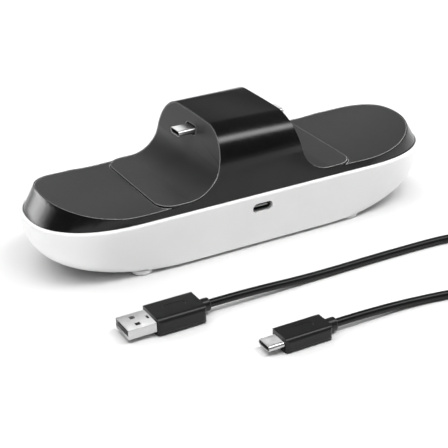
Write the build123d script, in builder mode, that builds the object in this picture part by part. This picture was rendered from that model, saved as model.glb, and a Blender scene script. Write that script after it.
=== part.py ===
"""A two-place charging dock for hand-held VR controllers, with its USB-A to USB-C cable.

Millimetres, +Z up. The origin is on the table, under the middle of the dock. X runs along the
dock, from one cradle to the other, and the power inlet is in the long side that faces -Y.
A white hull stands on four feet and carries a black top with a hump across its middle. A male
USB-C plug stands out of each side of the hump, over a saddle and a hollowed wing.
"""
from build123d import *
from math import copysign, cos, pi, radians, sin, tan
import os

# The white hull
FOOT_HEIGHT = 1.5
HULL_HEIGHT = 24.8
HULL_TOP = FOOT_HEIGHT + HULL_HEIGHT
HULL_HALF_LENGTH = 98.6
HULL_HALF_WIDTH = 31.5
HULL_BOTTOM_HALF_LENGTH = 74.5
HULL_BOTTOM_HALF_WIDTH = 27.9
HULL_STEPS = (0, 0.05, 0.15, 0.3, 0.5, 0.75, 1)
SWEEP_START = 2.7
SWEEP_END = 1.59
WALL = 2.4
FLOOR_TOP = FOOT_HEIGHT + WALL

# The seam between hull and top, and the shape of both ends in plan
SEAM_HALF_LENGTH = 97.0
SEAM_HALF_WIDTH = 29.9
SEAM_Z = HULL_TOP
STRAIGHT_SHARE = 0.585
BOTTOM_STRAIGHT_SHARE = 0.47
END_FULLNESS = 2.3
END_POINTS = 12
LAP_BOTTOM = 22.3
RIM_GAP = 0.1
RIM_ROUND = 1.0
LAP_OUTSIDE = 0.4
LAP_INSIDE = 1.7

# The black top
SKIN = 2.0
END_DRAFT = 0.62
DRAFT_TOP_Z = 62.0
TOP_Z = 57.8
HUMP_HALF_LENGTH = 17.1
HUMP_LEAN = radians(12.7)
SADDLE_Z = 30.45
SADDLE_END = 48.3
SADDLE_RADIUS = 15.0
SHOULDER_RADIUS = 16.2
CROWN_RADIUS = 600.0
WING_POINTS = ((48.3, 29.68), (73.3, 31.28), (98.3, 39.13))
PAD = 1.2
PAD_LIP = 0.5
PAD_GAP = 0.1
PAD_CORNER = 8.0
LEDGE_START = SADDLE_END - 2 * PAD_CORNER
LEDGE_Z = WING_POINTS[0][1]
PAD_PARTING = 0.15

# Feet, case screws and the posts that they share
POST_MIDDLE = -3.1
POST_X = 52.9
POST_Y = 22.3
FOOT_RADIUS = 4.8
FOOT_ROUND = 0.9
FOOT_RECESS = 0.6
POST_RADIUS = 3.3
POST_TOP = 18.0
SHELF_BOTTOM = 16.0
WELL_RADIUS = 2.5
BOSS_TOP = 27.5
SCREW_RADIUS = 1.2
SCREW_LENGTH = 9.0
CROSS = (1.3, 0.25)
CASE_SCREW = (2.1, 1.8, SCREW_RADIUS, SCREW_LENGTH)
HOLE_PLAY = 0.2
THREAD_PLAY = 0.05

# Main board and what stands on it
BOARD_LENGTH = 60.0
BOARD_FRONT = -26.4
BOARD_BACK = 13.0
BOARD = 1.6
BOARD_TOP = 18.35
BOARD_MIDDLE = (BOARD_FRONT + BOARD_BACK) / 2
STANDOFF_X = 25.0
STANDOFF_Y = 14.0
STANDOFF_RADIUS = 2.8
SMALL_SCREW_RADIUS = 0.95
SMALL_SCREW_LENGTH = 6.0
SMALL_SCREW = (1.9, 1.3, SMALL_SCREW_RADIUS, SMALL_SCREW_LENGTH)
SOCKET_X = 12.0
SOCKET_Y = 6.0
SOCKET_SIZE = (7.0, 4.5)
SOCKET_HEIGHT = 4.0
CHIP_PLACES = ((-14, -14), (14, -14))
CHIP_SIDE = 5.0
CHIP_HEIGHT = 0.9
INDUCTOR_PLACES = ((-19.5, -2), (19.5, 2))
INDUCTOR_SIDE = 6.0
INDUCTOR_HEIGHT = 3.0
CAPACITOR_Y = -8.0
CAPACITOR_PITCH = (3.5, 6.0)
CAPACITOR_SIZE = (2.0, 1.25)
CAPACITOR_HEIGHT = 1.25
BOARD_CORNER = 2.0

# USB-C: the inlet in the hull and the plugs in the hump
INLET_WIDTH = 8.94
INLET_HEIGHT = 3.26
INLET_Z = BOARD_TOP + INLET_HEIGHT / 2
INLET_MOUTH = -29.2
INLET_DEPTH = 7.35
INLET_OPENING = (10.1, 4.5)
TONGUE_WIDTH = 6.69
TONGUE = 0.7
TONGUE_ROOT = 1.8
TONGUE_SETBACK = 0.6
USB_C_WIDTH = 8.34
USB_C_HEIGHT = 2.56
USB_C_WALL = 0.28
PLUG_Z = 50.5
PLUG_TIP = 26.5
PLUG_CAVITY = 5.0
PLUG_CAVITY_HEIGHT = 1.1
PLUG_OPENING = (USB_C_WIDTH + 1.6, USB_C_HEIGHT + 1.6)
PLUG_BOARD_X = 10.0
PLUG_BOARD = 1.2
BRACKET_X = PLUG_BOARD_X + PLUG_BOARD
BRACKET_FRONT = BRACKET_X + 2.0
BRACKET_SIZE = (26.0, 8.0)
BRACKET_CORNER = 1.5
BRACKET_SCREW_Y = 10.5
PLUG_POST_RADIUS = 2.2
PLUG_POST_END = 16.5
LEAD_RADIUS = 1.0
LEAD_X = 5.0
LEAD_BEND = (28.0, 37.0)
LEAD_Z = 48.0

# The cable: lengths along X, then widths along Y, then heights
CORD = 3.5
ARC_SHARE = 0.45
METAL = 0.35
EMBED = 3.0
USB_A_Y = -68.0
USB_A_ROUND = 0.5
INSERT_SETBACK = 0.8
WINDOW = 2.2
WINDOW_X = 5.6
WINDOW_PITCH = 5.4
LATCH_SLOT = (2.4, 1.1)
USB_A_TIP = -86.0
USB_A_SHELL = (12.2, 12.0, 4.5)
USB_A_OVERMOLD = (21.6, 15.8, 7.8)
BOOT = (2.8, 4.5)
BOOT_ROUND = 0.5
THUMB_REST = (0.45, 0.2, 0.3)
USB_A_EDGE = 2.4
USB_C_EDGE = 2.0
GRIP_CORNER = 1.8
USB_A_BOOT_END = USB_A_TIP + USB_A_SHELL[0] + USB_A_OVERMOLD[0] + BOOT[1]
USB_C_Y = -106.0
USB_C_TIP = -44.0
USB_C_SHELL = (6.65, USB_C_WIDTH, USB_C_HEIGHT)
USB_C_OVERMOLD = (21.0, 12.2, 6.4)
USB_C_BOOT_END = USB_C_TIP + USB_C_SHELL[0] + USB_C_OVERMOLD[0] + BOOT[1]
COIL_X = 86.0
COIL_Y = -106.0
COIL_MIDDLE = 19.0
COIL_TURNS = 5.25
COIL_HEIGHT = 3 * CORD
TIE = 0.8
TIE_WIDTH = 7.0
TIE_ANGLE = 135.0
COIL_ROUND = 1.5
OUTER_TURN = COIL_MIDDLE + CORD / 2
FLAT = CORD / 2
RUN_A = (
    (USB_A_BOOT_END, USB_A_Y, USB_A_OVERMOLD[2] / 2),
    (-30, USB_A_Y, USB_A_OVERMOLD[2] / 2),
    (2, -67.5, FLAT),
    (44, -67.0, FLAT),
    (80, -68.4, FLAT),
    (102, -80.5, FLAT),
    (COIL_X + OUTER_TURN, -101, TIE + FLAT),
)
RUN_C = (
    (USB_C_BOOT_END, USB_C_Y, USB_C_OVERMOLD[2] / 2),
    (2, USB_C_Y, USB_C_OVERMOLD[2] / 2),
    (26, -105.8, FLAT),
    (50, -110, FLAT),
    (66, -121, 3.2),
    (COIL_X - 4, COIL_Y - OUTER_TURN, TIE + COIL_HEIGHT / 2),
)


def save(piece, node):
    """Labels one finished piece and writes it as its own STEP."""
    piece.label = node
    export_step(piece, f"parts/{node}.step")


def save_pair(piece, node):
    """Writes a right-hand piece, and the same piece half a turn about Z for the left."""
    save(piece.rotate(Axis.Z, 180), f"{node}_left")
    save(piece, f"{node}_right")


def oval(half_length, half_width, straight):
    """A long oval face with straight sides and superellipse ends."""
    end = half_length - straight
    power = 2 / END_FULLNESS
    angles = [pi * i / END_POINTS for i in range(1, END_POINTS)]
    near = [(straight, -half_width)]
    across = [
        (straight + end * sin(a) ** power, -copysign(half_width * abs(cos(a)) ** power, cos(a)))
        for a in angles
    ]
    far = [(straight, half_width)]
    with BuildSketch(mode=Mode.PRIVATE) as face:
        with BuildLine():
            right = Spline(*near, *across, *far, tangents=((1, 0), (-1, 0)))
            Line(right @ 1, (-straight, half_width))
            mirror(right, about=Plane.YZ)
            Line((-straight, -half_width), right @ 0)
        make_face()
    return face.sketch


def hull_oval(step, inset):
    """The hull's plan at a share of its height, drawn in by an inset."""
    sweep = (1 - (1 - step) ** SWEEP_START) ** (1 / SWEEP_END)
    bottom = HULL_BOTTOM_HALF_LENGTH - inset / 2
    half_length = bottom + (HULL_HALF_LENGTH - inset - bottom) * sweep
    draft = (HULL_HALF_WIDTH - HULL_BOTTOM_HALF_WIDTH) * step
    share = BOTTOM_STRAIGHT_SHARE + (STRAIGHT_SHARE - BOTTOM_STRAIGHT_SHARE) * sweep
    return oval(half_length, HULL_BOTTOM_HALF_WIDTH - inset + draft, share * half_length)


def hull_solid(inset, bottom):
    """The hull as a full solid above a height, drawn in by an inset."""
    with BuildPart(mode=Mode.PRIVATE) as solid:
        for step in HULL_STEPS:
            with BuildSketch(Plane.XY.offset(bottom + (HULL_TOP - bottom) * step)):
                add(hull_oval(step, inset))
        loft()
    return solid.part


def seam_oval(inset, height=0.0):
    """The top's plan at a height over the seam, drawn in by an inset."""
    half_length = SEAM_HALF_LENGTH - inset - END_DRAFT * height
    return oval(half_length, SEAM_HALF_WIDTH - inset, STRAIGHT_SHARE * SEAM_HALF_LENGTH)


def tapered_oval(inset):
    """A solid with the seam's plan and leaning ends, from the lap up past the hump."""
    with BuildPart(mode=Mode.PRIVATE) as solid:
        for z in (LAP_BOTTOM, DRAFT_TOP_Z):
            with BuildSketch(Plane.XY.offset(z)):
                add(seam_oval(inset, z - SEAM_Z))
        loft(ruled=True)
    return solid.part


def saddle_points(depth):
    """The hump's face and the saddle's floor, at a depth under their surface."""
    face_x = HUMP_HALF_LENGTH - depth / cos(HUMP_LEAN)
    corner_x = face_x + (TOP_Z - SADDLE_Z + depth) * tan(HUMP_LEAN)
    return (face_x, TOP_Z), (corner_x, SADDLE_Z - depth), (SADDLE_END, SADDLE_Z - depth)


def side_profile(top_inset, depth):
    """The dock's outline seen from its long side, above the lap."""
    face_top, corner, saddle_end = saddle_points(depth)
    top_z = TOP_Z - top_inset
    start = (face_top[0] + top_inset * tan(HUMP_LEAN), top_z)
    wing = [(x, z - depth) for x, z in WING_POINTS]
    with BuildSketch(mode=Mode.PRIVATE) as face:
        with BuildLine():
            Line((0, top_z), start)
            FilletPolyline(start, corner, saddle_end, radius=SADDLE_RADIUS + depth)
            Line(saddle_end, wing[0])
            ThreePointArc(*wing)
            Polyline(wing[2], (wing[2][0], LAP_BOTTOM), (0, LAP_BOTTOM), (0, top_z))
        make_face()
        mirror(about=Plane.YZ)
    return face.sketch


def hump_profile(inset):
    """The hump's section across the dock: flat sides, round shoulders and a crowned top."""
    half_width = SEAM_HALF_WIDTH - inset
    radius = SHOULDER_RADIUS - inset
    crown = CROWN_RADIUS - inset
    top_z = TOP_Z - inset
    shoulder_y = half_width - radius
    drop = crown - ((crown - radius) ** 2 - shoulder_y**2) ** 0.5
    reach = crown / (crown - radius)
    junction = (shoulder_y * reach, top_z - crown + (crown - drop) * reach)
    with BuildSketch(mode=Mode.PRIVATE) as face:
        with BuildLine():
            side = Line((half_width, LAP_BOTTOM), (half_width, top_z - drop))
            shoulder = TangentArc(side @ 1, junction, tangent=(0, 1))
            mirror(side, about=Plane.YZ)
            mirror(shoulder, about=Plane.YZ)
            ThreePointArc(junction, (0, top_z), (-junction[0], junction[1]))
            Line((-half_width, LAP_BOTTOM), (half_width, LAP_BOTTOM))
        make_face()
    return face.sketch


def saddle_corners():
    """What rounding the two raised saddles' outer corners takes off, down to the wings' level."""
    with BuildPart(mode=Mode.PRIVATE) as corners:
        with BuildSketch(Plane.XY.offset(LEDGE_Z)):
            Rectangle(2 * SADDLE_END + 1, 4 * SEAM_HALF_WIDTH)
            RectangleRounded(2 * SADDLE_END, 2 * SEAM_HALF_WIDTH, PAD_CORNER, mode=Mode.SUBTRACT)
            Rectangle(2 * LEDGE_START, 4 * SEAM_HALF_WIDTH, mode=Mode.SUBTRACT)
        extrude(amount=SADDLE_Z)
    return corners.part


def top_solid(inset, top_inset, depth):
    """The black top as a full solid: sides drawn in by an inset, saddles and wings by a depth."""
    with BuildPart(mode=Mode.PRIVATE) as solid:
        add(tapered_oval(inset))
        with BuildSketch(Plane.XZ):
            add(side_profile(top_inset, depth))
        extrude(amount=2 * SEAM_HALF_WIDTH, both=True, mode=Mode.INTERSECT)
        with BuildSketch(Plane.YZ):
            add(hump_profile(inset))
        extrude(amount=2 * SEAM_HALF_LENGTH, both=True, mode=Mode.INTERSECT)
        split(bisect_by=Plane.XY.offset(SEAM_Z), keep=Keep.TOP)
    return solid.part


def saddle_plan(past_end, half_width):
    """Both saddles' plan, past their ends by a little, with the rounded outer corners."""
    with BuildSketch(mode=Mode.PRIVATE) as plan:
        RectangleRounded(2 * (SADDLE_END + past_end), 2 * half_width, PAD_CORNER)
    return plan.sketch


def saddle_pad(lip):
    """The right saddle's pad, its edge a lip inside the top's edge."""
    with BuildPart(mode=Mode.PRIVATE) as pad:
        with BuildSketch(Plane.XZ):
            with BuildLine():
                upper = FilletPolyline(*saddle_points(0), radius=SADDLE_RADIUS)
                lower = FilletPolyline(*saddle_points(PAD), radius=SADDLE_RADIUS + PAD)
                Line(upper @ 0, lower @ 0)
                Line(upper @ 1, lower @ 1)
            make_face()
        extrude(amount=SEAM_HALF_WIDTH, both=True)
        with BuildSketch(Plane.YZ):
            add(hump_profile(lip))
        extrude(amount=SEAM_HALF_LENGTH, mode=Mode.INTERSECT)
        with BuildSketch(Plane.XY.offset(LAP_BOTTOM)):
            add(saddle_plan(PAD_LIP - lip, SEAM_HALF_WIDTH - lip))
        extrude(amount=TOP_Z, mode=Mode.INTERSECT)
    return pad.part


def wing_pad(lip, parting):
    """The right wing's pad, its edge a lip inside the top's edge, round the saddle's corners."""
    with BuildPart(mode=Mode.PRIVATE) as pad:
        add(tapered_oval(lip))
        with BuildSketch(Plane.XZ):
            with BuildLine():
                upper = ThreePointArc(*WING_POINTS)
                lower = ThreePointArc(*[(x, z - PAD) for x, z in WING_POINTS])
                Line(upper @ 1, lower @ 1)
                ledge = (LEDGE_START, LEDGE_Z)
                Polyline(upper @ 0, ledge, (LEDGE_START, LEDGE_Z - PAD), lower @ 0)
            make_face()
        extrude(amount=SEAM_HALF_WIDTH, both=True, mode=Mode.INTERSECT)
        with BuildSketch(Plane.XY.offset(LAP_BOTTOM)):
            add(saddle_plan(parting, SEAM_HALF_WIDTH + parting))
        extrude(amount=TOP_Z, mode=Mode.SUBTRACT)
    return pad.part


def posts():
    """The four places, on the case screws' axes, that the feet and the posts share."""
    middle = Location((POST_MIDDLE, 0))
    return [middle * place for place in GridLocations(2 * POST_X, 2 * POST_Y, 2, 2)]


def standoffs():
    """The main board's four screw places."""
    board = Location((0, BOARD_MIDDLE))
    return [board * place for place in GridLocations(2 * STANDOFF_X, 2 * STANDOFF_Y, 2, 2)]


def on_x(x, y=0.0, z=PLUG_Z):
    """A sketching plane across X, its own x along Y and its own y up."""
    return Plane(origin=(x, y, z), x_dir=(0, 1, 0), z_dir=(1, 0, 0))


def screw(seat, head_radius, head_height, shank_radius, length):
    """A cross-recess screw whose head sits under the seat plane, its shank along the normal."""
    with BuildPart(mode=Mode.PRIVATE) as body:
        with BuildSketch(seat):
            Circle(head_radius)
        extrude(amount=-head_height)
        with BuildSketch(seat.offset(-head_height)):
            Rectangle(CROSS[0] * head_radius, CROSS[1] * head_radius)
            Rectangle(CROSS[1] * head_radius, CROSS[0] * head_radius)
        extrude(amount=head_height / 2, mode=Mode.SUBTRACT)
        with BuildSketch(seat):
            Circle(shank_radius)
        extrude(amount=length)
    return body.part


def make_base_shell():
    """The white hull: a bowl with a rim, screw posts, board standoffs and the inlet's opening."""
    with BuildPart() as base_shell:
        add(hull_solid(0, FOOT_HEIGHT))
        fillet(base_shell.faces().sort_by(Axis.Z)[-1].edges(), RIM_ROUND)
        add(hull_solid(WALL, FLOOR_TOP), mode=Mode.SUBTRACT)
        with BuildSketch(Plane.XY.offset(LAP_BOTTOM)):
            add(seam_oval(-RIM_GAP))
        extrude(amount=HULL_TOP - LAP_BOTTOM, mode=Mode.SUBTRACT)
        with BuildSketch(Plane.XY.offset(FLOOR_TOP)):
            with Locations(posts()):
                Circle(POST_RADIUS)
        extrude(amount=POST_TOP - FLOOR_TOP)
        with BuildSketch(Plane.XY.offset(FLOOR_TOP)):
            with Locations(standoffs()):
                Circle(STANDOFF_RADIUS)
        extrude(amount=BOARD_TOP - BOARD - FLOOR_TOP)
        with BuildSketch(Plane.XY.offset(FOOT_HEIGHT)):
            with Locations(posts()):
                Circle(FOOT_RADIUS + HOLE_PLAY)
        extrude(amount=FOOT_RECESS, mode=Mode.SUBTRACT)
        with BuildSketch(Plane.XY.offset(FOOT_HEIGHT)):
            with Locations(posts()):
                Circle(WELL_RADIUS)
        extrude(amount=SHELF_BOTTOM - FOOT_HEIGHT, mode=Mode.SUBTRACT)
        with BuildSketch(Plane.XY.offset(SHELF_BOTTOM)):
            with Locations(posts()):
                Circle(SCREW_RADIUS + HOLE_PLAY)
        extrude(amount=POST_TOP - SHELF_BOTTOM, mode=Mode.SUBTRACT)
        with BuildSketch(Plane.XY.offset(BOARD_TOP - BOARD)):
            with Locations(standoffs()):
                Circle(SMALL_SCREW_RADIUS + THREAD_PLAY)
        extrude(amount=-SMALL_SCREW_LENGTH, mode=Mode.SUBTRACT)
        with BuildSketch(Plane.XZ.offset(HULL_HALF_WIDTH + 1)):
            with Locations((0, INLET_Z)):
                SlotOverall(*INLET_OPENING)
        extrude(amount=-HULL_HALF_WIDTH / 2, mode=Mode.SUBTRACT)
    save(base_shell.part, "base_shell")


def make_feet():
    """Four round feet that cover the case screws' wells."""
    for row, y in (("front", -POST_Y), ("back", POST_Y)):
        for side, x in (("left", POST_MIDDLE - POST_X), ("right", POST_MIDDLE + POST_X)):
            with BuildPart() as foot:
                with BuildSketch():
                    with Locations((x, y)):
                        Circle(FOOT_RADIUS)
                extrude(amount=FOOT_HEIGHT + FOOT_RECESS)
                fillet(foot.faces().sort_by(Axis.Z)[0].edges(), FOOT_ROUND)
            save(foot.part, f"foot_{row}_{side}")


def make_top_shell():
    """The black top: a hollow hump and wings, recessed for the pads, with a lap inside the rim."""
    with BuildPart() as top_shell:
        add(top_solid(0, 0, 0))
        add(saddle_corners(), mode=Mode.SUBTRACT)
        add(top_solid(SKIN, SKIN, SKIN + PAD), mode=Mode.SUBTRACT)
        with BuildSketch(Plane.XY.offset(LAP_BOTTOM)):
            add(seam_oval(LAP_OUTSIDE))
            add(seam_oval(LAP_INSIDE), mode=Mode.SUBTRACT)
        extrude(amount=SEAM_Z - LAP_BOTTOM)
        with BuildSketch(Plane.XY.offset(POST_TOP)):
            with Locations(posts()):
                Circle(POST_RADIUS)
        extrude(amount=BOSS_TOP - POST_TOP)
        with BuildSketch(Plane.XY.offset(POST_TOP)):
            with Locations(posts()):
                Circle(SCREW_RADIUS + THREAD_PLAY)
        extrude(amount=SHELF_BOTTOM + SCREW_LENGTH + HOLE_PLAY - POST_TOP, mode=Mode.SUBTRACT)
        for turn in (0, 180):
            pad_room = saddle_pad(PAD_LIP - PAD_GAP) + wing_pad(PAD_LIP - PAD_GAP, 0)
            add(pad_room.rotate(Axis.Z, turn), mode=Mode.SUBTRACT)
            add(plug_posts().rotate(Axis.Z, turn))
            add(plug_room().rotate(Axis.Z, turn), mode=Mode.SUBTRACT)
    save(top_shell.part, "top_shell")


def plug_posts():
    """Two posts that carry the right plug's bracket off the hump's inner wall."""
    with BuildPart(mode=Mode.PRIVATE) as pair:
        with BuildSketch(on_x(BRACKET_FRONT)):
            with GridLocations(2 * BRACKET_SCREW_Y, 0, 2, 1):
                Circle(PLUG_POST_RADIUS)
        extrude(amount=PLUG_POST_END - BRACKET_FRONT)
    return pair.part


def plug_room():
    """The way through the hump's wall for the right plug, and its bracket's screw holes."""
    with BuildPart(mode=Mode.PRIVATE) as room:
        with BuildSketch(on_x(BRACKET_FRONT)):
            SlotOverall(*PLUG_OPENING)
        extrude(amount=PLUG_TIP - BRACKET_FRONT)
        with BuildSketch(on_x(BRACKET_FRONT)):
            with GridLocations(2 * BRACKET_SCREW_Y, 0, 2, 1):
                Circle(SMALL_SCREW_RADIUS + THREAD_PLAY)
        extrude(amount=PLUG_POST_END - BRACKET_FRONT - HOLE_PLAY)
    return room.part


def make_pads():
    """The satin liner on each saddle and hump face, and the satin pad on each wing."""
    with BuildPart() as cradle_liner:
        add(saddle_pad(PAD_LIP))
        with BuildSketch(on_x(HUMP_HALF_LENGTH)):
            SlotOverall(*PLUG_OPENING)
        extrude(amount=HUMP_HALF_LENGTH, both=True, mode=Mode.SUBTRACT)
    save_pair(cradle_liner.part, "cradle_liner")
    save_pair(wing_pad(PAD_LIP, PAD_PARTING), "wing_pad")


def make_charging_plug():
    """The male USB-C plug of one cradle, with its contact block, bracket and small board."""
    with BuildPart() as plug_shell:
        with BuildSketch(on_x(BRACKET_X)):
            SlotOverall(USB_C_WIDTH, USB_C_HEIGHT)
            SlotOverall(USB_C_WIDTH - 2 * USB_C_WALL, USB_C_HEIGHT - 2 * USB_C_WALL, mode=Mode.SUBTRACT)
        extrude(amount=PLUG_TIP - BRACKET_X)
    save_pair(plug_shell.part, "plug_shell")

    with BuildPart() as plug_contact_block:
        with BuildSketch(on_x(BRACKET_X)):
            SlotOverall(USB_C_WIDTH - 2 * USB_C_WALL, USB_C_HEIGHT - 2 * USB_C_WALL)
        extrude(amount=PLUG_TIP - HOLE_PLAY - BRACKET_X)
        with BuildSketch(on_x(PLUG_TIP)):
            SlotOverall(TONGUE_WIDTH, PLUG_CAVITY_HEIGHT)
        extrude(amount=-PLUG_CAVITY, mode=Mode.SUBTRACT)
    save_pair(plug_contact_block.part, "plug_contact_block")

    with BuildPart() as plug_bracket:
        with BuildSketch(on_x(BRACKET_X)):
            RectangleRounded(*BRACKET_SIZE, BRACKET_CORNER)
            SlotOverall(USB_C_WIDTH + THREAD_PLAY, USB_C_HEIGHT + THREAD_PLAY, mode=Mode.SUBTRACT)
            with GridLocations(2 * BRACKET_SCREW_Y, 0, 2, 1):
                Circle(SMALL_SCREW_RADIUS + HOLE_PLAY, mode=Mode.SUBTRACT)
        extrude(amount=BRACKET_FRONT - BRACKET_X)
    save_pair(plug_bracket.part, "plug_bracket")

    with BuildPart() as plug_board:
        with BuildSketch(on_x(PLUG_BOARD_X)):
            RectangleRounded(*BRACKET_SIZE, BRACKET_CORNER)
            with GridLocations(2 * BRACKET_SCREW_Y, 0, 2, 1):
                Circle(SMALL_SCREW_RADIUS + HOLE_PLAY, mode=Mode.SUBTRACT)
        extrude(amount=PLUG_BOARD)
    save_pair(plug_board.part, "plug_board")

    with BuildPart() as bracket_screws:
        for y in (-BRACKET_SCREW_Y, BRACKET_SCREW_Y):
            add(screw(on_x(PLUG_BOARD_X, y), *SMALL_SCREW))
    save_pair(bracket_screws.part, "bracket_screws")


def make_leads():
    """The wires from the main board's sockets up to the small boards in the hump."""
    path = (
        (SOCKET_X, SOCKET_Y, BOARD_TOP + SOCKET_HEIGHT),
        (SOCKET_X, SOCKET_Y, LEAD_BEND[0]),
        (LEAD_X, SOCKET_Y, LEAD_BEND[1]),
        (LEAD_X, SOCKET_Y, LEAD_Z),
        (PLUG_BOARD_X, SOCKET_Y, LEAD_Z),
    )
    save_pair(tube(path, LEAD_RADIUS), "plug_lead")


def make_main_board():
    """The charging board, screwed to the hull's standoffs, and the parts soldered to it."""
    with BuildPart() as main_board:
        with BuildSketch(Plane.XY.offset(BOARD_TOP)):
            with Locations((0, BOARD_MIDDLE)):
                RectangleRounded(BOARD_LENGTH, BOARD_BACK - BOARD_FRONT, BOARD_CORNER)
            with Locations(standoffs()):
                Circle(SMALL_SCREW_RADIUS + HOLE_PLAY, mode=Mode.SUBTRACT)
        extrude(amount=-BOARD)
    save(main_board.part, "main_board")

    with BuildPart() as board_screws:
        for place in standoffs():
            seat = Plane(origin=(place.position.X, place.position.Y, BOARD_TOP), z_dir=(0, 0, -1))
            add(screw(seat, *SMALL_SCREW))
    save(board_screws.part, "board_screws")

    with BuildPart() as lead_sockets:
        with BuildSketch(Plane.XY.offset(BOARD_TOP)):
            with Locations((SOCKET_X, SOCKET_Y), (-SOCKET_X, -SOCKET_Y)):
                Rectangle(*SOCKET_SIZE)
        extrude(amount=SOCKET_HEIGHT)
    save(lead_sockets.part, "lead_sockets")

    with BuildPart() as charge_chips:
        with BuildSketch(Plane.XY.offset(BOARD_TOP)):
            with Locations(*CHIP_PLACES):
                Rectangle(CHIP_SIDE, CHIP_SIDE)
        extrude(amount=CHIP_HEIGHT)
    save(charge_chips.part, "charge_chips")

    with BuildPart() as power_inductors:
        with BuildSketch(Plane.XY.offset(BOARD_TOP)):
            with Locations(*INDUCTOR_PLACES):
                RectangleRounded(INDUCTOR_SIDE, INDUCTOR_SIDE, 1)
        extrude(amount=INDUCTOR_HEIGHT)
    save(power_inductors.part, "power_inductors")

    with BuildPart() as board_capacitors:
        with BuildSketch(Plane.XY.offset(BOARD_TOP)):
            with Locations((0, CAPACITOR_Y)):
                with GridLocations(*CAPACITOR_PITCH, 4, 2):
                    Rectangle(*CAPACITOR_SIZE)
        extrude(amount=CAPACITOR_HEIGHT)
    save(board_capacitors.part, "board_capacitors")


def make_case_screws():
    """Four screws that pull the top down on the hull."""
    with BuildPart() as case_screws:
        for place in posts():
            seat = Plane(origin=(place.position.X, place.position.Y, SHELF_BOTTOM))
            add(screw(seat, *CASE_SCREW))
    save(case_screws.part, "case_screws")


def make_inlet():
    """The USB-C receptacle behind the hull's opening: its metal shell and its tongue."""
    mouth = Plane(origin=(0, INLET_MOUTH, INLET_Z), x_dir=(1, 0, 0), z_dir=(0, -1, 0))
    inner = (INLET_WIDTH - 2 * USB_C_WALL, INLET_HEIGHT - 2 * USB_C_WALL)
    with BuildPart() as inlet_shell:
        with BuildSketch(mouth):
            SlotOverall(INLET_WIDTH, INLET_HEIGHT)
            SlotOverall(*inner, mode=Mode.SUBTRACT)
        extrude(amount=-INLET_DEPTH)
    save(inlet_shell.part, "inlet_shell")

    with BuildPart() as inlet_tongue:
        with BuildSketch(mouth.offset(-INLET_DEPTH)):
            SlotOverall(*inner)
        extrude(amount=TONGUE_ROOT)
        with BuildSketch(mouth.offset(-INLET_DEPTH)):
            Rectangle(TONGUE_WIDTH, TONGUE)
        extrude(amount=INLET_DEPTH - TONGUE_SETBACK)
    save(inlet_tongue.part, "inlet_tongue")


def tube(points, radius):
    """A round cord through its points, turned by arcs as large as the runs allow."""
    corners = [Vector(*point) for point in points]
    runs = [end - start for start, end in zip(corners, corners[1:])]
    radii = [
        ARC_SHARE * min(before.length, after.length) / tan(radians(before.get_angle(after)) / 2)
        for before, after in zip(runs, runs[1:])
    ]
    with BuildPart(mode=Mode.PRIVATE) as cord:
        with BuildLine() as path:
            FilletPolyline(*points, radius=radii)
        with BuildSketch(Plane(origin=path.wires()[0] @ 0, z_dir=path.wires()[0] % 0)):
            Circle(radius)
        sweep(path=path.wires()[0])
    section = pi * radius**2
    print("radii", [round(r, 1) for r in radii], "length", round(path.wires()[0].length, 1))
    print("volume over section times length", cord.part.volume / section / path.wires()[0].length)
    return cord.part


def plug_overmold(start_x, y, size, edge, corner, pocket):
    """A plug's moulded grip from start_x on, lying on the table, with a pocket for its shell.

    Its long edges are well rounded, and it has a shallow thumb rest on its upper side."""
    length, width, height = size
    with BuildPart(mode=Mode.PRIVATE) as overmold:
        with BuildSketch(on_x(start_x, y, height / 2)):
            RectangleRounded(width, height, edge)
        extrude(amount=length)
        with BuildSketch():
            with Locations((start_x + length / 2, y)):
                RectangleRounded(length, width, corner)
        extrude(amount=height, mode=Mode.INTERSECT)
        with BuildSketch(on_x(start_x, y, height / 2)):
            add(pocket)
        extrude(amount=EMBED, mode=Mode.SUBTRACT)
        with BuildSketch(Plane.XY.offset(height)):
            with Locations((start_x + length / 2, y)):
                SlotOverall(THUMB_REST[0] * length, THUMB_REST[1] * length)
        extrude(amount=-THUMB_REST[2], mode=Mode.SUBTRACT)
    return overmold.part


def plug_boot(start_x, y, z):
    """The short collar where the cord leaves a plug's grip."""
    radius, length = BOOT
    with BuildPart(mode=Mode.PRIVATE) as boot:
        with BuildSketch(on_x(start_x, y, z)):
            Circle(radius)
        extrude(amount=length)
        fillet(boot.faces().sort_by(Axis.X)[-1].edges(), BOOT_ROUND)
    return boot.part


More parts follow.
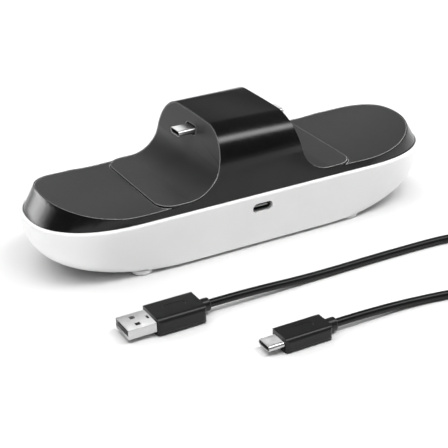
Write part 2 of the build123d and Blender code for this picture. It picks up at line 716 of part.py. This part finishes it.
def make_usb_a_plug():
    """The cable's USB-A end: folded shell with latch windows, insert, grip and strain relief."""
    length, width, height = USB_A_SHELL
    grip_x = USB_A_TIP + length
    z = USB_A_OVERMOLD[2] / 2
    with BuildPart() as usb_a_shell:
        with BuildSketch(on_x(USB_A_TIP, USB_A_Y, z)):
            RectangleRounded(width, height, USB_A_ROUND)
            Rectangle(width - 2 * METAL, height - 2 * METAL, mode=Mode.SUBTRACT)
        extrude(amount=length + EMBED)
        with BuildSketch(Plane.XY.offset(z - height)):
            with Locations((USB_A_TIP + WINDOW_X, USB_A_Y)):
                with GridLocations(0, WINDOW_PITCH, 1, 2):
                    Rectangle(WINDOW, WINDOW)
            with Locations((grip_x - LATCH_SLOT[1], USB_A_Y)):
                SlotOverall(*LATCH_SLOT, rotation=90)
        extrude(amount=2 * height, mode=Mode.SUBTRACT)
    save(usb_a_shell.part, "usb_a_shell")

    with BuildPart() as usb_a_insert:
        with BuildSketch(on_x(USB_A_TIP + INSERT_SETBACK, USB_A_Y, z)):
            with Locations((0, METAL / 2 - height / 4)):
                Rectangle(width - 2 * METAL, height / 2 - METAL)
        extrude(amount=length + EMBED - INSERT_SETBACK)
    save(usb_a_insert.part, "usb_a_insert")

    pocket = Sketch() + RectangleRounded(width, height, USB_A_ROUND)
    grip = plug_overmold(grip_x, USB_A_Y, USB_A_OVERMOLD, USB_A_EDGE, GRIP_CORNER, pocket)
    save(grip, "usb_a_overmold")
    save(plug_boot(USB_A_BOOT_END - BOOT[1], USB_A_Y, z), "usb_a_boot")


def make_usb_c_plug():
    """The cable's USB-C end: drawn shell, contact insert, grip and strain relief."""
    length, width, height = USB_C_SHELL
    grip_x = USB_C_TIP + length
    z = USB_C_OVERMOLD[2] / 2
    inner = (width - 2 * USB_C_WALL, height - 2 * USB_C_WALL)
    with BuildPart() as usb_c_shell:
        with BuildSketch(on_x(USB_C_TIP, USB_C_Y, z)):
            SlotOverall(width, height)
            SlotOverall(*inner, mode=Mode.SUBTRACT)
        extrude(amount=length + EMBED)
    save(usb_c_shell.part, "usb_c_shell")

    with BuildPart() as usb_c_insert:
        with BuildSketch(on_x(USB_C_TIP + HOLE_PLAY, USB_C_Y, z)):
            SlotOverall(*inner)
        extrude(amount=length + EMBED - HOLE_PLAY)
        with BuildSketch(on_x(USB_C_TIP, USB_C_Y, z)):
            SlotOverall(TONGUE_WIDTH, PLUG_CAVITY_HEIGHT)
        extrude(amount=PLUG_CAVITY, mode=Mode.SUBTRACT)
    save(usb_c_insert.part, "usb_c_insert")

    pocket = Sketch() + SlotOverall(width, height)
    grip = plug_overmold(grip_x, USB_C_Y, USB_C_OVERMOLD, USB_C_EDGE, GRIP_CORNER, pocket)
    save(grip, "usb_c_overmold")
    save(plug_boot(USB_C_BOOT_END - BOOT[1], USB_C_Y, z), "usb_c_boot")


def coil_ring(spare):
    """The coil as a ring of its turns' outline, larger all round by a spare amount."""
    with BuildPart(mode=Mode.PRIVATE) as ring:
        with BuildSketch(Plane.XY.offset(TIE - spare)):
            with Locations((COIL_X, COIL_Y)):
                Circle(COIL_MIDDLE + CORD + spare)
                Circle(COIL_MIDDLE - CORD - spare, mode=Mode.SUBTRACT)
        extrude(amount=COIL_HEIGHT + 2 * spare)
        fillet(ring.faces().filter_by(Axis.Z).edges(), COIL_ROUND + spare)
    return ring.part


def make_cord():
    """The cable's cord: two laid-out runs, the coil that the rest is wound into, and its tie."""
    save(tube(RUN_A, CORD / 2), "cable_run_a")
    save(tube(RUN_C, CORD / 2), "cable_run_c")
    save(coil_ring(0), "cable_coil")
    with BuildPart() as cable_tie:
        add(coil_ring(TIE))
        add(coil_ring(0), mode=Mode.SUBTRACT)
        with BuildSketch(Plane(origin=(COIL_X, COIL_Y, 0)).rotated((0, 0, TIE_ANGLE))):
            with Locations((COIL_MIDDLE, 0)):
                Rectangle(COIL_MIDDLE, TIE_WIDTH)
        extrude(amount=COIL_HEIGHT + 2 * TIE, mode=Mode.INTERSECT)
    save(cable_tie.part, "cable_tie")
    print("cord in the coil", round(2 * pi * COIL_MIDDLE * COIL_TURNS))


os.makedirs("parts", exist_ok=True)
make_base_shell()
make_feet()
make_top_shell()
make_pads()
make_charging_plug()
make_leads()
make_main_board()
make_case_screws()
make_inlet()
make_usb_a_plug()
make_usb_c_plug()
make_cord()
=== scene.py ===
"""Looks of the two-place charging dock for hand-held VR controllers and its USB-A to USB-C cable.

Metres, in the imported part's own frame: the origin is on the table under the dock's middle, X runs
along the dock and the power inlet faces -Y. The camera, the cord and the strap round its coil come
first, then the materials, the rounded edges of the CAD parts, the floor and the lights.
"""

from math import cos, pi, radians, sin

import bpy
from mathutils import Matrix, Vector


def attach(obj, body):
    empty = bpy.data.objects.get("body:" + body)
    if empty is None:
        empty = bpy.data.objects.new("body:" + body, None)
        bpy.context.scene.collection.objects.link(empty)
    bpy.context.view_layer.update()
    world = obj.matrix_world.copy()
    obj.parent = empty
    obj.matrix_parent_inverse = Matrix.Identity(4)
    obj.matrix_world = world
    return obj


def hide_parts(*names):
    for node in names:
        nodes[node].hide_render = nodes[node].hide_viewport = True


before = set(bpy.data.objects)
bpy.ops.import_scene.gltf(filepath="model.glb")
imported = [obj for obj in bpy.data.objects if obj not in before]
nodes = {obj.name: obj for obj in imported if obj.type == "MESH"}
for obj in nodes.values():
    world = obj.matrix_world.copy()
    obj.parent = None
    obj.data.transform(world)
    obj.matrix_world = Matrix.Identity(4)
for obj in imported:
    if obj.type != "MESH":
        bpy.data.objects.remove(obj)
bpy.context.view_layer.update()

MM = 0.001

# The camera
CAMERA_PLACE = (-0.24841, -0.45939, 0.25813)
CAMERA_AZIMUTH = radians(-28.08)
CAMERA_ELEVATION = radians(26.42)
CAMERA_ROLL = radians(-1.51)
CAMERA_LENS = 100.9
CAMERA_SENSOR = 36.0

# The cord's route, in millimetres: the CAD's own points, and the coil between its two runs
CORD = 3.5
USB_A_BOOT = (-47.7, -68, 3.9)
USB_C_BOOT = (-11.85, -106, 3.2)
RUN_A = (
    USB_A_BOOT,
    (-30, -68, 3.9),
    (2, -67.5, 1.75),
    (44, -67, 1.75),
    (80, -68.4, 1.75),
    (102, -80.5, 1.75),
)
RUN_C = (
    (82, -126.75, 6.05),
    (66, -121, 3.2),
    (50, -110, 1.75),
    (26, -105.8, 1.75),
    (2, -106, 3.2),
    USB_C_BOOT,
)
COIL_CENTRE = (86, -106)
COIL_OUTER = 20.75
COIL_INNER = 17.25
COIL_LEVELS = (2.55, 6.05, 9.55)
COIL_PLACES = (
    (COIL_OUTER, COIL_LEVELS[0]),
    (COIL_INNER, COIL_LEVELS[0]),
    (COIL_INNER, COIL_LEVELS[1]),
    (COIL_INNER, COIL_LEVELS[2]),
    (COIL_OUTER, COIL_LEVELS[2]),
    (COIL_OUTER, COIL_LEVELS[1]),
)
COIL_STEPS = 24
COIL_TURNS = 5.25
COIL_SHIFT = 45

# The strap round the coil, in millimetres, and the side of the coil that it is on. Its corners are
# the middles of the coil's outermost turns, across and up from the coil's middle line, and its
# lapped end stops on the coil's outer side at the height STRAP_END
STRAP_ANGLE = radians(135)
STRAP_WIDTH = 7.0
STRAP_THICKNESS = 0.74
STRAP_PLAY = 0.05
STRAP_LAP = 0.8
STRAP_CORNERS = ((1.75, 3.5), (1.75, -3.5), (-1.75, -3.5), (-1.75, 3.5))
STRAP_END = -1
STRAP_EDGE = 0.2
STRAP_CORNER_STEPS = 8
STRAP_EDGE_STEPS = 3


def add_camera():
    """The camera, turned by its azimuth, its elevation and a small roll."""
    data = bpy.data.cameras.new("camera")
    data.lens = CAMERA_LENS
    data.sensor_width = CAMERA_SENSOR
    camera = bpy.data.objects.new("camera", data)
    bpy.context.scene.collection.objects.link(camera)
    azimuth, elevation = CAMERA_AZIMUTH, CAMERA_ELEVATION
    back = Vector(
        (sin(azimuth) * cos(elevation), -cos(azimuth) * cos(elevation), sin(elevation))
    )
    level = Vector((cos(azimuth), sin(azimuth), 0))
    upright = back.cross(level)
    across = level * cos(CAMERA_ROLL) + upright * sin(CAMERA_ROLL)
    up = upright * cos(CAMERA_ROLL) - level * sin(CAMERA_ROLL)
    turn = Matrix((across, up, back)).transposed()
    camera.matrix_world = Matrix.Translation(CAMERA_PLACE) @ turn.to_4x4()
    bpy.context.scene.camera = camera


def coil_place(travel):
    """The radius and height of the coil's turn after this much travel, in degrees.

    Each turn moves over to the next free place in the last part of its round, a little earlier
    than the turn before it, so that no turn crosses another."""
    radius, height = COIL_PLACES[0]
    for i, (new, old) in enumerate(zip(COIL_PLACES[1:], COIL_PLACES), start=1):
        start = 360 * i - COIL_SHIFT * i
        share = min(1, max(0, (travel - start) / COIL_SHIFT))
        radius += (new[0] - old[0]) * share
        height += (new[1] - old[1]) * share
    return radius, height


def coil_points():
    """The coil's turns, clockwise seen from above, from its +X side.

    The cord's line touches the sides between these points, so they stand a little further out."""
    swell = 1 / cos(pi / COIL_STEPS)
    points = []
    for i in range(int(COIL_TURNS * COIL_STEPS) + 1):
        angle = -2 * pi * i / COIL_STEPS
        radius, height = coil_place(360 * i / COIL_STEPS)
        x = COIL_CENTRE[0] + radius * swell * cos(angle)
        y = COIL_CENTRE[1] + radius * swell * sin(angle)
        points.append((x, y, height))
    return points


def add_cord():
    """The whole cord as one smooth line, from the USB-A plug by the coil to the USB-C plug."""
    curve = bpy.data.curves.new("cord", "CURVE")
    curve.dimensions = "3D"
    curve.resolution_u = 6
    curve.bevel_depth = CORD / 2 * MM
    curve.bevel_resolution = 5
    curve.use_fill_caps = True
    spline = curve.splines.new("NURBS")
    points = [*RUN_A, *coil_points(), *RUN_C]
    spline.points.add(len(points) - 1)
    for control, point in zip(spline.points, points):
        control.co = (*(Vector(point) * MM), 1)
    spline.order_u = 3
    spline.use_endpoint_u = True
    cord = bpy.data.objects.new("cord", curve)
    bpy.context.scene.collection.objects.link(cord)
    return cord


def strap_line():
    """The strap's middle line: once round the coil's section, then lapped over its own start.

    Each point is a place across and up from the coil's middle line, and its outward direction."""
    radius = CORD / 2 + STRAP_PLAY + STRAP_THICKNESS / 2
    last = len(STRAP_CORNERS) - 1
    turns = [(STRAP_CORNERS[last], pi / 2, 0)]
    for i, corner in enumerate((*STRAP_CORNERS, STRAP_CORNERS[0])):
        for j in range(STRAP_CORNER_STEPS + 1):
            share = j / STRAP_CORNER_STEPS
            lap = STRAP_LAP * min(1, max(0, i - last + share))
            turns.append((corner, pi / 2 * (1 - i - share), lap))
    turns.append(((STRAP_CORNERS[0][0], STRAP_END), 0, STRAP_LAP))
    line = []
    for (across, up), angle, lap in turns:
        out = Vector((cos(angle), sin(angle)))
        line.append((Vector((across, up)) + out * (radius + lap), out))
    return line


def strap_section():
    """The strap's section, as places along its width and through its thickness."""
    half_width, half = STRAP_WIDTH / 2, STRAP_THICKNESS / 2
    inner = half - STRAP_EDGE
    corners = ((1, 1), (-1, 1), (-1, -1), (1, -1))
    section = []
    for i, (side, face) in enumerate(corners):
        for j in range(STRAP_EDGE_STEPS + 1):
            angle = pi / 2 * (i + j / STRAP_EDGE_STEPS)
            along = side * (half_width - STRAP_EDGE) + STRAP_EDGE * cos(angle)
            section.append((along, face * inner + STRAP_EDGE * sin(angle)))
    return section


def add_strap():
    """The hook-and-loop strap that holds the coil together."""
    outward = Vector((cos(STRAP_ANGLE), sin(STRAP_ANGLE), 0))
    along = Vector((-sin(STRAP_ANGLE), cos(STRAP_ANGLE), 0))
    middle = Vector((*COIL_CENTRE, COIL_LEVELS[1])) + outward * (COIL_OUTER + COIL_INNER) / 2
    section = strap_section()
    line = strap_line()
    points = []
    for (across, up), out in line:
        for width, through in section:
            spot = middle + along * width + outward * (across + out.x * through)
            spot.z += up + out.y * through
            points.append(spot * MM)
    count = len(section)
    faces = []
    for i in range(len(line) - 1):
        for j in range(count):
            a, b = i * count + j, i * count + (j + 1) % count
            faces.append((a, b, b + count, a + count))
    faces.append(tuple(reversed(range(count))))
    faces.append(tuple(range(len(points) - count, len(points))))
    mesh = bpy.data.meshes.new("cable_strap")
    mesh.from_pydata(points, [], faces)
    for face in mesh.polygons:
        face.use_smooth = len(face.vertices) == 4
    strap = bpy.data.objects.new("cable_strap", mesh)
    bpy.context.scene.collection.objects.link(strap)
    return strap


add_camera()
cord = add_cord()
strap = add_strap()

# The cable's pieces besides the cord: both plugs and the strap
cord_pieces = [
    "usb_a_boot",
    "usb_a_overmold",
    "usb_a_shell",
    "usb_a_insert",
    "usb_c_boot",
    "usb_c_overmold",
    "usb_c_shell",
    "usb_c_insert",
    "cable_strap",
]


# The materials. The Mix node's two colours are its sockets 6 and 7, and its output is socket 2
MIX_FIRST, MIX_SECOND, MIX_RESULT = 6, 7, 2

# Where a plastic's edges get a painted highlight, a lighter colour in place of the light that
# rounded edges catch. Its reach from the edges, in metres, comes first below. The painted highlight
# fades out as the cosine between the true and the rounded normal rises through EDGE_COSINES, and
# falls to the share EDGE_LEAST as the rounded normal's Y falls through EDGE_FACINGS
EDGE_HIGHLIGHT_REACH = 0.0006
EDGE_COSINES = (0.8, 0.985)
EDGE_FACINGS = (0.1, 0.35)
EDGE_LEAST = 0.3


class Nodes:
    """A small helper that adds and links the nodes of one material."""

    def __init__(self, name):
        self.material = bpy.data.materials.new(name)
        self.material.use_nodes = True
        self.tree = self.material.node_tree
        self.shader = self.tree.nodes["Principled BSDF"]
        self.place = self.tree.nodes.new("ShaderNodeTexCoord").outputs["Object"]

    def node(self, kind, inputs=(), **settings):
        """A node with its settings, its inputs given as values or as links."""
        made = self.tree.nodes.new(f"ShaderNode{kind}")
        for name, value in settings.items():
            setattr(made, name, value)
        for name, value in dict(inputs).items():
            if isinstance(value, bpy.types.NodeSocket):
                self.tree.links.new(value, made.inputs[name])
            else:
                made.inputs[name].default_value = value
        return made

    def set(self, **values):
        """Values or links on the material's shader."""
        for name, value in values.items():
            socket = self.shader.inputs[name.replace("_", " ")]
            if isinstance(value, bpy.types.NodeSocket):
                self.tree.links.new(value, socket)
            else:
                socket.default_value = value

    def noise(self, scale, detail=2.0, vector=None):
        """A noise value over the object's own coordinates, scale in cycles per metre."""
        inputs = {"Vector": vector or self.place, "Scale": scale, "Detail": detail}
        return self.node("TexNoise", inputs).outputs["Fac"]

    def stretched(self, scale):
        """The object's coordinates, scaled by axis, for brushed or drawn grain."""
        inputs = {"Vector": self.place, "Scale": scale}
        return self.node("Mapping", inputs, vector_type="POINT").outputs["Vector"]

    def ramp(self, value, stops):
        """Colours over a value: each stop is a place and a grey or a colour."""
        ramp = self.node("ValToRGB", {"Fac": value})
        elements = ramp.color_ramp.elements
        while len(elements) < len(stops):
            elements.new(0.5)
        for element, (place, colour) in zip(elements, stops):
            element.position = place
            if isinstance(colour, float):
                colour = (colour, colour, colour)
            element.color = (*colour, 1)
        return ramp.outputs["Color"]

    def span(self, value, low, high, start=0.35, end=0.65):
        """A value from low to high as the noise goes from start to end."""
        inputs = {"Value": value, "From Min": start, "From Max": end}
        inputs.update({"To Min": low, "To Max": high})
        return self.node("MapRange", inputs).outputs["Result"]

    def mix(self, share, first, second):
        """One colour over another."""
        inputs = {"Factor": share, MIX_FIRST: first, MIX_SECOND: second}
        return self.node("Mix", inputs, data_type="RGBA").outputs[MIX_RESULT]

    def edge(self, radius):
        """The mask of a painted edge highlight: one near a sharp edge that faces along Y, less near
        the others, and zero elsewhere.
        """
        true = self.node("NewGeometry").outputs["Normal"]
        rounded = self.node("Bevel", {"Radius": radius}, samples=6).outputs["Normal"]
        inputs = {0: true, 1: rounded}
        dot = self.node("VectorMath", inputs, operation="DOT_PRODUCT").outputs["Value"]
        near = self.span(dot, 1, 0, *EDGE_COSINES)
        along = self.node("SeparateXYZ", {"Vector": rounded}).outputs["Y"]
        facing = self.node("Math", {0: along}, operation="ABSOLUTE").outputs["Value"]
        share = self.span(facing, EDGE_LEAST, 1, *EDGE_FACINGS)
        return self.node("Math", {0: near, 1: share}, operation="MULTIPLY").outputs["Value"]

    def bump(self, height, strength, distance):
        """A bump of real distance in metres, from a height value."""
        inputs = {"Height": height, "Strength": strength, "Distance": distance}
        return self.node("Bump", inputs).outputs["Normal"]


# Noise over the surfaces, in cycles per metre
BLOTCHES = 60
PLASTIC_SMUDGES = 420
METAL_SMUDGES = 350
BOARD_SMUDGES = 300
BOARD_TRACKS = 700
FLOOR_CLOUDS = 8

# The board's greens, by the distance from the middles of its tracks' cells
BOARD_GREENS = (
    (0.30, (0.010, 0.085, 0.035)),
    (0.34, (0.016, 0.130, 0.055)),
    (0.50, (0.012, 0.100, 0.042)),
)


def plastic(name, colour, other, rough, grain, depth, edge=None):
    """Moulded plastic: faint blotches in its colour, uneven polish and a fine moulded grain.

    Its edges get a painted highlight, a lighter shade mixed in near them, where one is given."""
    made = Nodes(name)
    shade = made.ramp(made.noise(BLOTCHES, detail=4), ((0.35, colour), (0.65, other)))
    polish = made.noise(PLASTIC_SMUDGES, detail=3)
    if edge:
        # A painted highlight: the lighter edge shade mixed into the colour near sharp edges
        shade = made.mix(made.edge(EDGE_HIGHLIGHT_REACH), shade, (edge, edge, edge, 1))
    made.set(
        Base_Color=shade,
        Roughness=made.span(polish, *rough),
        Normal=made.bump(made.noise(grain), strength=0.4, distance=depth),
    )
    return made


def metal(name, dark, light, rough, streaks, depth):
    """Bare metal with drawn or brushed streaks, given as cycles per metre along each axis."""
    made = Nodes(name)
    grain = made.noise(1, detail=3, vector=made.stretched(streaks))
    smudge = made.noise(METAL_SMUDGES, detail=3)
    made.set(
        Base_Color=made.ramp(grain, ((0.3, dark), (0.7, light))),
        Metallic=1.0,
        Roughness=made.span(smudge, *rough),
        Normal=made.bump(grain, strength=0.5, distance=depth),
    )
    return made


def webbing(name, colour, other, pitch):
    """Woven hook-and-loop tape: two crossed sets of threads, with a little sheen."""
    made = Nodes(name)
    threads = []
    for axis in ("X", "Y"):
        settings = {"wave_type": "BANDS", "bands_direction": axis}
        inputs = {"Vector": made.place, "Scale": pitch, "Distortion": 0.6, "Detail": 1.0}
        threads.append(made.node("TexWave", inputs, **settings).outputs["Fac"])
    inputs = {0: threads[0], 1: threads[1]}
    weave = made.node("Math", inputs, operation="MULTIPLY").outputs["Value"]
    made.set(
        Base_Color=made.ramp(weave, ((0.1, colour), (0.8, other))),
        Roughness=0.85,
        Sheen_Weight=0.25,
        Normal=made.bump(weave, strength=0.8, distance=0.0002),
    )
    return made


def circuit_board(name):
    """Green solder mask over faint copper tracks."""
    made = Nodes(name)
    inputs = {"Vector": made.place, "Scale": BOARD_TRACKS}
    cells = made.node("TexVoronoi", inputs, distance="CHEBYCHEV", feature="F1")
    tracks = cells.outputs["Distance"]
    made.set(
        Base_Color=made.ramp(tracks, BOARD_GREENS),
        Roughness=made.span(made.noise(BOARD_SMUDGES, detail=3), low=0.28, high=0.4),
        Normal=made.bump(tracks, strength=0.4, distance=0.00003),
    )
    return made


# Each plastic's two shades, its roughness, its grain in cycles per metre, the grain's depth and,
# where it has one, the shade of its painted edge highlight
PLASTICS = {
    "white_shell": (0.80, 0.82, (0.30, 0.38), 2600, 0.00002),
    "gloss_black": (0.004, 0.006, (0.17, 0.21), 2200, 0.000003),
    # The satin black's last value, 0.9, is the shade of its painted edge highlight
    "satin_black": (0.026, 0.028, (0.42, 0.44), 3600, 0.000002, 0.9),
    "grip_black": (0.010, 0.012, (0.28, 0.34), 3600, 0.00003),
    "cord_black": (0.002, 0.003, (0.30, 0.36), 3000, 0.00003),
    "foot_white": (0.74, 0.78, (0.55, 0.65), 2600, 0.00003),
    "contact_black": (0.006, 0.010, (0.45, 0.60), 3000, 0.00002),
    "tongue_grey": (0.30, 0.38, (0.40, 0.50), 3000, 0.00001),
    "chip_black": (0.012, 0.022, (0.50, 0.65), 9000, 0.00002),
    "ferrite_grey": (0.06, 0.10, (0.60, 0.75), 5000, 0.00004),
    "socket_white": (0.70, 0.76, (0.35, 0.45), 2400, 0.00002),
    "bracket_grey": (0.14, 0.18, (0.45, 0.55), 2600, 0.00003),
    "lead_black": (0.010, 0.014, (0.35, 0.45), 3200, 0.00002),
    "ceramic_tan": ((0.42, 0.30, 0.18), (0.55, 0.42, 0.28), (0.35, 0.50), 4000, 0.00002),
}

# Each metal's two shades, its roughness, its streaks in cycles per metre by axis and their depth
METALS = {
    "plug_steel": (0.58, 0.68, (0.28, 0.36), (300, 5000, 5000), 0.000002),
    # The inlet's steel is darker than the plugs' steel: painted shade for the recess round the
    # inlet
    "inlet_steel_painted_shade": (0.10, 0.16, (0.35, 0.45), (300, 5000, 5000), 0.000006),
    "screw_steel": (0.28, 0.42, (0.32, 0.45), (2500, 2500, 400), 0.00001),
}

# How strongly the dark plastics mirror their surroundings, where it isn't the usual 0.5
MIRRORING = {"gloss_black": 0.36, "cord_black": 0.3, "grip_black": 0.3}


def add_materials():
    """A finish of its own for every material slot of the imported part."""
    made = {slot: plastic(slot + "_plastic", *look) for slot, look in PLASTICS.items()}
    made.update((name, metal(name, *look)) for name, look in METALS.items())
    made["board_green"] = circuit_board("board_green")
    made["tie_black"] = webbing("tie_black_tape", 0.006, 0.03, pitch=600)
    for slot, level in MIRRORING.items():
        made[slot].set(Specular_IOR_Level=level)
    return made


MATERIALS = add_materials()

# Each CAD node takes the finishes that its own slots name
for node in nodes.values():
    for item in node.material_slots:
        item.material = MATERIALS[item.material.name.split(".")[0]].material

# The shell inside the inlet gets a darker steel than the plugs, with which it shares a slot:
# painted shade for the dim recess that it sits in
nodes["inlet_shell"].material_slots[0].material = MATERIALS["inlet_steel_painted_shade"].material

cord.data.materials.append(MATERIALS["cord_black"].material)
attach(cord, "cable")
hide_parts("cable_run_a", "cable_run_c", "cable_coil")
strap.data.materials.append(MATERIALS["tie_black"].material)
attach(strap, "cable")
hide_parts("cable_tie")


# The rounded edges: each node's bevel in metres, made where its faces turn by more than SHARP
# once points within WELD_GAP, in metres too, are joined
EDGES = {
    "top_shell": 0.0004,
    "base_shell": 0.0004,
    "cradle_liner_left": 0.0004,
    "cradle_liner_right": 0.0004,
    "wing_pad_left": 0.0004,
    "wing_pad_right": 0.0004,
    "plug_shell_left": 0.00009,
    "plug_shell_right": 0.00009,
    "usb_a_shell": 0.0001,
    "usb_c_shell": 0.00009,
    "usb_a_overmold": 0.0003,
    "usb_c_overmold": 0.0003,
}
SHARP = radians(28)
WELD_GAP = 1e-7


def round_edges(node, width):
    """Rounds a CAD node's sharp edges by a small real radius, so that they catch the light."""
    weld = node.modifiers.new("weld", "WELD")
    weld.merge_threshold = WELD_GAP
    bevel = node.modifiers.new("rounded", "BEVEL")
    bevel.width = width
    bevel.segments = 3
    bevel.limit_method = "ANGLE"
    bevel.angle_limit = SHARP
    bevel.harden_normals = False
    bevel.use_clamp_overlap = True
    bevel.loop_slide = False


for name, width in EDGES.items():
    round_edges(nodes[name], width)


# Half the floor's width in metres, and its greys by its noise
FLOOR = 3.0
FLOOR_GREYS = ((0.3, 0.735), (0.7, 0.755))

# Where most of the lights aim, and the shares of half their width and height that fade out
DOCK = (0, 0, 0.03)
HARD = (0.01, 0.01)
FADED = (1, 1)


def add_floor():
    """A plain pale floor, larger than the view."""
    mesh = bpy.data.meshes.new("floor")
    corners = [(-FLOOR, -FLOOR, 0), (FLOOR, -FLOOR, 0), (FLOOR, FLOOR, 0), (-FLOOR, FLOOR, 0)]
    mesh.from_pydata(corners, [], [(0, 1, 2, 3)])
    floor = bpy.data.objects.new("floor", mesh)
    bpy.context.scene.collection.objects.link(floor)
    made = Nodes("floor_paper")
    made.set(
        Base_Color=made.ramp(made.noise(FLOOR_CLOUDS), FLOOR_GREYS),
        Roughness=0.9,
        Specular_IOR_Level=0.1,
    )
    mesh.materials.append(made.material)


def soft_edges(tree, soft):
    """Fades a light out at its edges, over a share of its half width and of its half height."""
    across = tree.nodes.new("ShaderNodeSeparateXYZ")
    place = tree.nodes.new("ShaderNodeNewGeometry").outputs["Parametric"]
    tree.links.new(place, across.inputs[0])
    shares = []
    for axis, share in enumerate(soft):
        centred = tree.nodes.new("ShaderNodeMath")
        centred.operation = "MULTIPLY_ADD"
        centred.inputs[1].default_value = 2
        centred.inputs[2].default_value = -1
        tree.links.new(across.outputs[axis], centred.inputs[0])
        size_of = tree.nodes.new("ShaderNodeMath")
        size_of.operation = "ABSOLUTE"
        tree.links.new(centred.outputs[0], size_of.inputs[0])
        fade = tree.nodes.new("ShaderNodeMapRange")
        fade.interpolation_type = "SMOOTHSTEP"
        fade.inputs["From Min"].default_value = 1
        fade.inputs["From Max"].default_value = 1 - share
        tree.links.new(size_of.outputs[0], fade.inputs["Value"])
        shares.append(fade.outputs["Result"])
    both = tree.nodes.new("ShaderNodeMath")
    both.operation = "MULTIPLY"
    tree.links.new(shares[0], both.inputs[0])
    tree.links.new(shares[1], both.inputs[1])
    tree.links.new(both.outputs[0], tree.nodes["Emission"].inputs["Strength"])


def add_light(name, place, size, radiance, aim=DOCK, seen=True, soft=HARD, only=()):
    """A rectangular light that faces a point, seen or not in reflections.

    Where nodes are named, all its effect is kept to them, its reflections included."""
    data = bpy.data.lights.new(name, "AREA")
    data.shape = "RECTANGLE"
    data.size, data.size_y = size
    data.energy = radiance * pi * size[0] * size[1]
    data.use_nodes = True
    soft_edges(data.node_tree, soft)
    light = bpy.data.objects.new(name, data)
    bpy.context.scene.collection.objects.link(light)
    light.location = place
    light.rotation_euler = (Vector(aim) - Vector(place)).to_track_quat("-Z", "Y").to_euler()
    light.visible_glossy = seen
    if only:
        lit = bpy.data.collections.new(name + "_receivers")
        for node in only:
            lit.objects.link(nodes[node])
        light.light_linking.receiver_collection = lit


def add_world(horizon, ceiling, fade):
    """A pale studio that darkens from its horizon up to its ceiling.

    The ceiling starts where the Z of the direction from the middle reaches the value of fade."""
    world = bpy.data.worlds.new("studio")
    world.use_nodes = True
    tree = world.node_tree
    height = tree.nodes.new("ShaderNodeSeparateXYZ")
    tree.links.new(tree.nodes.new("ShaderNodeTexCoord").outputs["Generated"], height.inputs[0])
    shade = tree.nodes.new("ShaderNodeMapRange")
    shade.interpolation_type = "SMOOTHSTEP"
    span = {"From Min": 0, "From Max": fade, "To Min": horizon, "To Max": ceiling}
    for name, value in span.items():
        shade.inputs[name].default_value = value
    tree.links.new(height.outputs["Z"], shade.inputs["Value"])
    background = tree.nodes["Background"]
    background.inputs["Color"].default_value = (1, 1, 1, 1)
    tree.links.new(shade.outputs["Result"], background.inputs["Strength"])
    bpy.context.scene.world = world


# The nodes that some of the lights are kept to
LINERS_AND_PADS = ("cradle_liner_left", "cradle_liner_right", "wing_pad_left", "wing_pad_right")
PLUGS = ("plug_shell_left", "plug_shell_right")
USB_SHELLS = ("usb_a_shell", "usb_c_shell")
HULL = ("base_shell",)
TOP = ("top_shell",)

# The places and sizes that several lights share
LEFT = (-1.1, -0.25, 0.35)
BEHIND = (0.3, 0.8, 0.5)
SIDE = (0.6, 0.5)
CARD = (1.2, 0.6)

add_floor()
add_world(horizon=0.38, ceiling=0.07, fade=0.2)

# Each light's name, place, size and radiance. The key strip aims straight across the dock, so that
# its reflection runs along it
add_light("key_strip", (0.42, -0.33, 0.86), (1.2, 0.42), 10.5, aim=(0.42, 0, 0.03), soft=(0.3, 1))
add_light("top_card", (-0.38, -0.1, 1.15), (0.85, 0.9), 3.5, soft=(0.5, 0.5))
add_light("overhead_fill", (0, 0.2, 1.5), (2.8, 2.8), 0.85, seen=False)
add_light("back_fill", (-0.6, 1.9, 1.3), (2.4, 2.0), 2.0, aim=(-0.6, 1.9, 0), seen=False)
add_light("front_fill", (0, -1.1, 0.45), CARD, 0.35, seen=False)
add_light("left_fill", LEFT, SIDE, 0.3, seen=False)
add_light("hull_fill", LEFT, SIDE, 6.5, seen=False, only=HULL)
add_light("hull_side_fill", (1.1, -0.1, 0.35), SIDE, 6.0, seen=False, only=HULL)
add_light("right_fill", (1.1, -0.3, 0.35), SIDE, 1.2, seen=False)
add_light("end_card", (-0.6, 0.6, 0.16), (1.5, 0.5), 8.0, soft=FADED, only=TOP)
add_light("back_card", (0.45, 0.8, 0.5), (0.9, 0.5), 0.25, soft=FADED)
add_light("pad_card", BEHIND, CARD, 0.55, soft=FADED, only=LINERS_AND_PADS)
add_light("shell_card", BEHIND, CARD, 2.6, soft=FADED, only=PLUGS)
add_light("cable_card", BEHIND, CARD, 3.6, soft=FADED, only=USB_SHELLS)
add_light("right_card", (0.9, 0.45, 0.2), (0.4, 0.4), 2.0, soft=FADED)

# The loose cable stays out of the reflections in the dock's gloss
cord.visible_glossy = False
for name in cord_pieces:
    bpy.data.objects[name].visible_glossy = False

bpy.context.scene.view_settings.view_transform = "Standard"
